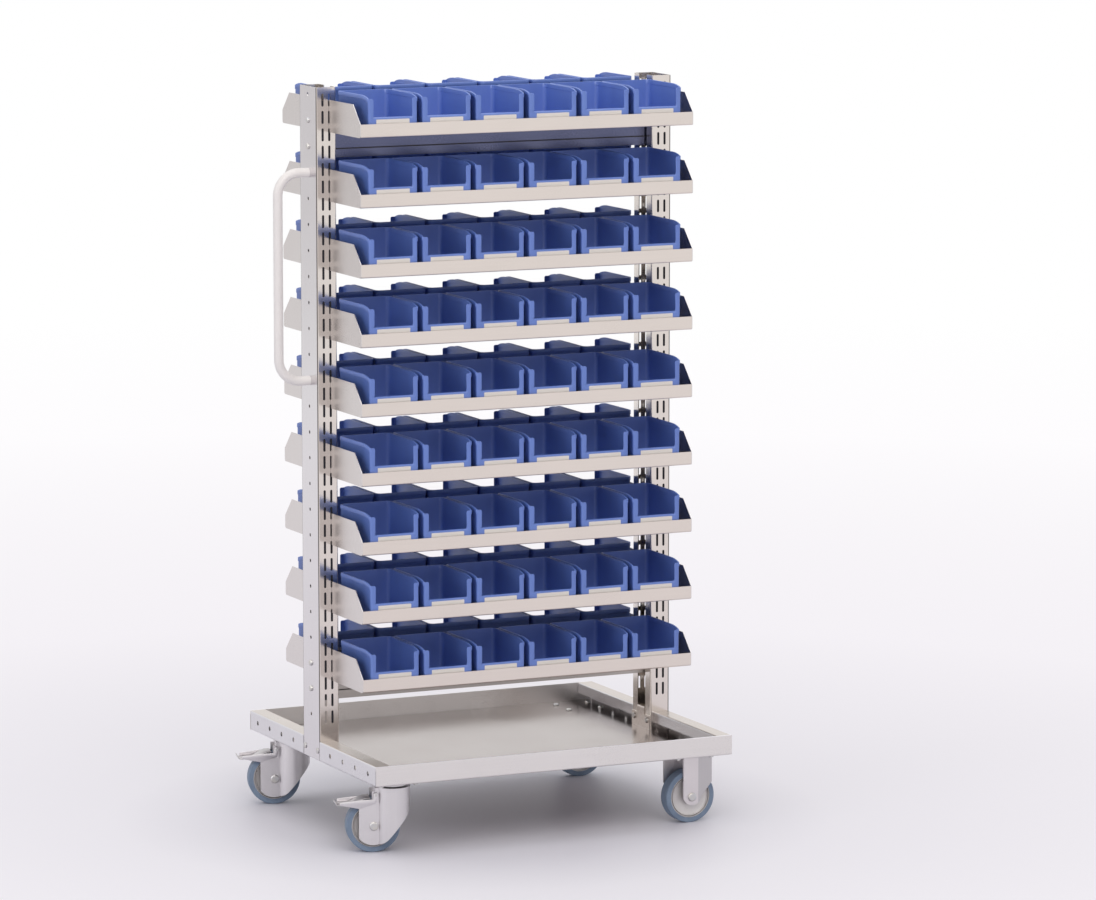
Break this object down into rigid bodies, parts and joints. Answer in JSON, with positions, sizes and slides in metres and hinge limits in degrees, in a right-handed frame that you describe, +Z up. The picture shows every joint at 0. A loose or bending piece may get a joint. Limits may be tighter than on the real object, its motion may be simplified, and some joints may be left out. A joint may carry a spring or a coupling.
{
  "type": "bin trolley",
  "caption": "Wheeled double-sided rack: slotted uprights on a tray base carry shelves of open-front plastic bins on both faces, with a push handle and braked swivel casters.",
  "frame": {"origin": "on the floor, under the middle of the overall box", "axes": "+Z up; +X along the base, from the handle to the far end; +Y from the front to the rear"},
  "size_m": [0.9992, 0.764, 1.741],
  "materials": {
    "frame_metal": "satin light grey",
    "shelf_metal": "satin light grey",
    "pan_metal": "satin light grey",
    "handle_coat": "off-white powder coat",
    "bin_plastic": "moulded blue",
    "tyre_rubber": "blue-grey elastic tyre",
    "wheel_core": "light grey nylon",
    "bush": "plain bearing plastic",
    "caster_metal": "light grey zinc",
    "zinc": "bright zinc"
  },
  "bodies": {
    "frame": {"front_rail": "frame_metal", "rear_rail": "frame_metal", "floor_pan": "pan_metal", "left_end_beam": "frame_metal", "right_end_beam": "frame_metal", "left_upright": "frame_metal", "right_upright": "frame_metal", "left_upright_foot": "frame_metal", "right_upright_foot": "frame_metal", "top_cross_panel": "frame_metal", "bottom_cross_panel": "frame_metal", "push_handle": "handle_coat", "panel_bolts": "zinc", "handle_bolts": "zinc", "foot_bolts": "zinc", "caster_bolts": "zinc", "front_shelves": "shelf_metal", "rear_shelves": "shelf_metal", "front_fixed_bracket": "caster_metal", "rear_fixed_bracket": "caster_metal", "fixed_axles": "zinc", "front_swivel_head": "caster_metal", "rear_swivel_head": "caster_metal"},
    "front_swivel": {"front_swivel_fork": "caster_metal", "front_swivel_axle": "zinc"},
    "front_pedal": {"front_brake_pedal": "caster_metal"},
    "front_swivel_wheel": {"front_swivel_wheel_core": "wheel_core", "front_swivel_tyre": "tyre_rubber", "front_swivel_bush": "bush"},
    "front_fixed_wheel": {"front_fixed_wheel_core": "wheel_core", "front_fixed_tyre": "tyre_rubber", "front_fixed_bush": "bush"},
    "rear_swivel": {"rear_swivel_fork": "caster_metal", "rear_swivel_axle": "zinc"},
    "rear_pedal": {"rear_brake_pedal": "caster_metal"},
    "rear_swivel_wheel": {"rear_swivel_wheel_core": "wheel_core", "rear_swivel_tyre": "tyre_rubber", "rear_swivel_bush": "bush"},
    "rear_fixed_wheel": {"rear_fixed_wheel_core": "wheel_core", "rear_fixed_tyre": "tyre_rubber", "rear_fixed_bush": "bush"},
    "front_bin_row_1": {"front_bins_1": "bin_plastic"},
    "rear_bin_row_1": {"rear_bins_1": "bin_plastic"},
    "front_bin_row_2": {"front_bins_2": "bin_plastic"},
    "rear_bin_row_2": {"rear_bins_2": "bin_plastic"},
    "front_bin_row_3": {"front_bins_3": "bin_plastic"},
    "rear_bin_row_3": {"rear_bins_3": "bin_plastic"},
    "front_bin_row_4": {"front_bins_4": "bin_plastic"},
    "rear_bin_row_4": {"rear_bins_4": "bin_plastic"},
    "front_bin_row_5": {"front_bins_5": "bin_plastic"},
    "rear_bin_row_5": {"rear_bins_5": "bin_plastic"},
    "front_bin_row_6": {"front_bins_6": "bin_plastic"},
    "rear_bin_row_6": {"rear_bins_6": "bin_plastic"},
    "front_bin_row_7": {"front_bins_7": "bin_plastic"},
    "rear_bin_row_7": {"rear_bins_7": "bin_plastic"},
    "front_bin_row_8": {"front_bins_8": "bin_plastic"},
    "rear_bin_row_8": {"rear_bins_8": "bin_plastic"},
    "front_bin_row_9": {"front_bins_9": "bin_plastic"},
    "rear_bin_row_9": {"rear_bins_9": "bin_plastic"}
  },
  "joints": [
    {"name": "front_swivel_turn", "type": "hinge", "parent": "frame", "child": "front_swivel", "pos_m": [-0.3381, -0.299, 0.15], "axis": [0, 0, 1], "continuous": true},
    {"name": "front_swivel_wheel_spin", "type": "hinge", "parent": "front_swivel", "child": "front_swivel_wheel", "pos_m": [-0.38205, -0.28722, 0.0625], "axis": [0.2588, 0.9659, 0], "continuous": true},
    {"name": "front_fixed_wheel_spin", "type": "hinge", "parent": "frame", "child": "front_fixed_wheel", "pos_m": [0.4199, -0.3, 0.0625], "axis": [0, 1, 0], "continuous": true},
    {"name": "front_pedal_press", "type": "hinge", "parent": "front_swivel", "child": "front_pedal", "pos_m": [-0.3777, -0.28839, 0.135], "axis": [-0.2588, -0.9659, 0], "range_deg": [0, 6]},
    {"name": "rear_swivel_turn", "type": "hinge", "parent": "frame", "child": "rear_swivel", "pos_m": [-0.3381, 0.299, 0.15], "axis": [0, 0, 1], "continuous": true},
    {"name": "rear_swivel_wheel_spin", "type": "hinge", "parent": "rear_swivel", "child": "rear_swivel_wheel", "pos_m": [-0.38205, 0.31078, 0.0625], "axis": [0.2588, 0.9659, 0], "continuous": true},
    {"name": "rear_fixed_wheel_spin", "type": "hinge", "parent": "frame", "child": "rear_fixed_wheel", "pos_m": [0.4199, 0.3, 0.0625], "axis": [0, 1, 0], "continuous": true},
    {"name": "rear_pedal_press", "type": "hinge", "parent": "rear_swivel", "child": "rear_pedal", "pos_m": [-0.3777, 0.30961, 0.135], "axis": [-0.2588, -0.9659, 0], "range_deg": [0, 6]},
    {"name": "front_bin_row_1_lift", "type": "slide", "parent": "frame", "child": "front_bin_row_1", "axis": [0, 0, 1], "range_m": [0, 0.045]},
    {"name": "rear_bin_row_1_lift", "type": "slide", "parent": "frame", "child": "rear_bin_row_1", "axis": [0, 0, 1], "range_m": [0, 0.045]},
    {"name": "front_bin_row_2_lift", "type": "slide", "parent": "frame", "child": "front_bin_row_2", "axis": [0, 0, 1], "range_m": [0, 0.045]},
    {"name": "rear_bin_row_2_lift", "type": "slide", "parent": "frame", "child": "rear_bin_row_2", "axis": [0, 0, 1], "range_m": [0, 0.045]},
    {"name": "front_bin_row_3_lift", "type": "slide", "parent": "frame", "child": "front_bin_row_3", "axis": [0, 0, 1], "range_m": [0, 0.045]},
    {"name": "rear_bin_row_3_lift", "type": "slide", "parent": "frame", "child": "rear_bin_row_3", "axis": [0, 0, 1], "range_m": [0, 0.045]},
    {"name": "front_bin_row_4_lift", "type": "slide", "parent": "frame", "child": "front_bin_row_4", "axis": [0, 0, 1], "range_m": [0, 0.045]},
    {"name": "rear_bin_row_4_lift", "type": "slide", "parent": "frame", "child": "rear_bin_row_4", "axis": [0, 0, 1], "range_m": [0, 0.045]},
    {"name": "front_bin_row_5_lift", "type": "slide", "parent": "frame", "child": "front_bin_row_5", "axis": [0, 0, 1], "range_m": [0, 0.045]},
    {"name": "rear_bin_row_5_lift", "type": "slide", "parent": "frame", "child": "rear_bin_row_5", "axis": [0, 0, 1], "range_m": [0, 0.045]},
    {"name": "front_bin_row_6_lift", "type": "slide", "parent": "frame", "child": "front_bin_row_6", "axis": [0, 0, 1], "range_m": [0, 0.045]},
    {"name": "rear_bin_row_6_lift", "type": "slide", "parent": "frame", "child": "rear_bin_row_6", "axis": [0, 0, 1], "range_m": [0, 0.045]},
    {"name": "front_bin_row_7_lift", "type": "slide", "parent": "frame", "child": "front_bin_row_7", "axis": [0, 0, 1], "range_m": [0, 0.045]},
    {"name": "rear_bin_row_7_lift", "type": "slide", "parent": "frame", "child": "rear_bin_row_7", "axis": [0, 0, 1], "range_m": [0, 0.045]},
    {"name": "front_bin_row_8_lift", "type": "slide", "parent": "frame", "child": "front_bin_row_8", "axis": [0, 0, 1], "range_m": [0, 0.045]},
    {"name": "rear_bin_row_8_lift", "type": "slide", "parent": "frame", "child": "rear_bin_row_8", "axis": [0, 0, 1], "range_m": [0, 0.045]},
    {"name": "front_bin_row_9_lift", "type": "slide", "parent": "frame", "child": "front_bin_row_9", "axis": [0, 0, 1], "range_m": [0, 0.045]},
    {"name": "rear_bin_row_9_lift", "type": "slide", "parent": "frame", "child": "rear_bin_row_9", "axis": [0, 0, 1], "range_m": [0, 0.045]}
  ]
}
